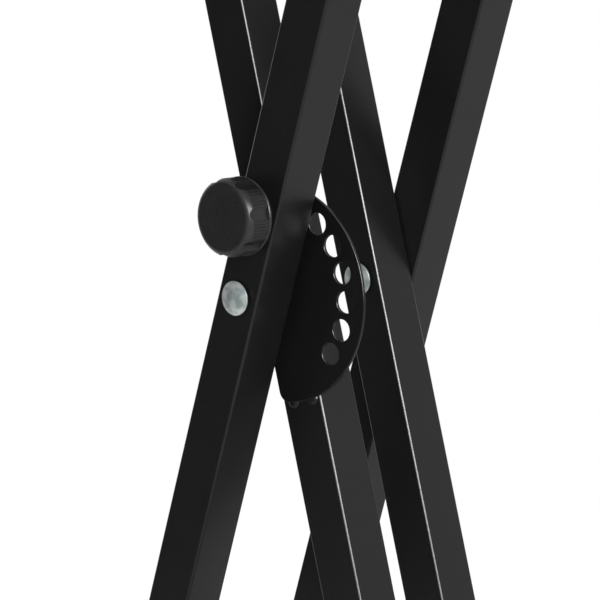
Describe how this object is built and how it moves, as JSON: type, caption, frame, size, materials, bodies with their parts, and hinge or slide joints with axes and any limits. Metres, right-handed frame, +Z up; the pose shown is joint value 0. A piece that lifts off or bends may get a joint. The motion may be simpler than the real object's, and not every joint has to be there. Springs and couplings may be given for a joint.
{
  "type": "folding keyboard stand",
  "caption": "Folding X-braced keyboard stand of black square tube, with a half-moon index plate, a spring-loaded lock knob, domed pivot bolts and rubber caps on its bar ends.",
  "frame": {"origin": "on the floor, below the middle of the pivot line", "axes": "+Z up, -Y to the front where the lock knob is, +X to the right as seen from the front"},
  "size_m": [0.3302, 0.456, 0.983],
  "materials": {
    "black_coat": "satin black powder coat",
    "zinc": "bright zinc plate",
    "bare_steel": "plain machined steel",
    "knob_plastic": "moulded black plastic, slightly glossy",
    "nylon": "black nylon",
    "rubber": "matte black rubber"
  },
  "bodies": {
    "inner_frame": {"inner_leg_front": "black_coat", "inner_leg_rear": "black_coat", "inner_top_bar": "black_coat", "inner_foot_bar": "black_coat", "inner_top_cap_front": "rubber", "inner_top_cap_rear": "rubber", "inner_foot_cap_front": "rubber", "inner_foot_cap_rear": "rubber", "inner_leg_inserts": "bare_steel", "inner_bar_bolts": "zinc", "inner_bar_washers": "zinc", "inner_pivot_sleeves": "bare_steel", "index_plate": "black_coat", "plate_welds": "black_coat", "front_pivot_spacer": "nylon", "rear_pivot_spacer": "nylon", "rear_pivot_bolt": "zinc", "rear_pivot_washer": "zinc", "rear_pivot_nut": "zinc"},
    "outer_frame": {"outer_leg_front": "black_coat", "outer_leg_rear": "black_coat", "outer_top_bar": "black_coat", "outer_foot_bar": "black_coat", "outer_top_cap_front": "rubber", "outer_top_cap_rear": "rubber", "outer_foot_cap_front": "rubber", "outer_foot_cap_rear": "rubber", "outer_leg_inserts": "bare_steel", "outer_bar_bolts": "zinc", "outer_bar_washers": "zinc", "outer_pivot_sleeves": "bare_steel", "front_pivot_bolt": "zinc", "front_pivot_washer": "zinc", "front_pivot_nut": "zinc", "lock_guide_bush": "black_coat"},
    "lock": {"lock_knob": "knob_plastic", "lock_pin": "bare_steel", "lock_clip": "bare_steel", "lock_spring": "bare_steel"}
  },
  "joints": [
    {"name": "leg_fold", "type": "hinge", "parent": "inner_frame", "child": "outer_frame", "pos_m": [0, 0, 0.48851], "axis": [0, 1, 0], "range_deg": [-25.6, 111]},
    {"name": "lock_pull", "type": "slide", "parent": "outer_frame", "child": "lock", "axis": [0, -1, 0], "range_m": [-0.005, 0.003], "stiffness_N_per_m": 700, "springref_m": -0.015, "deforming": ["lock_spring"]}
  ]
}
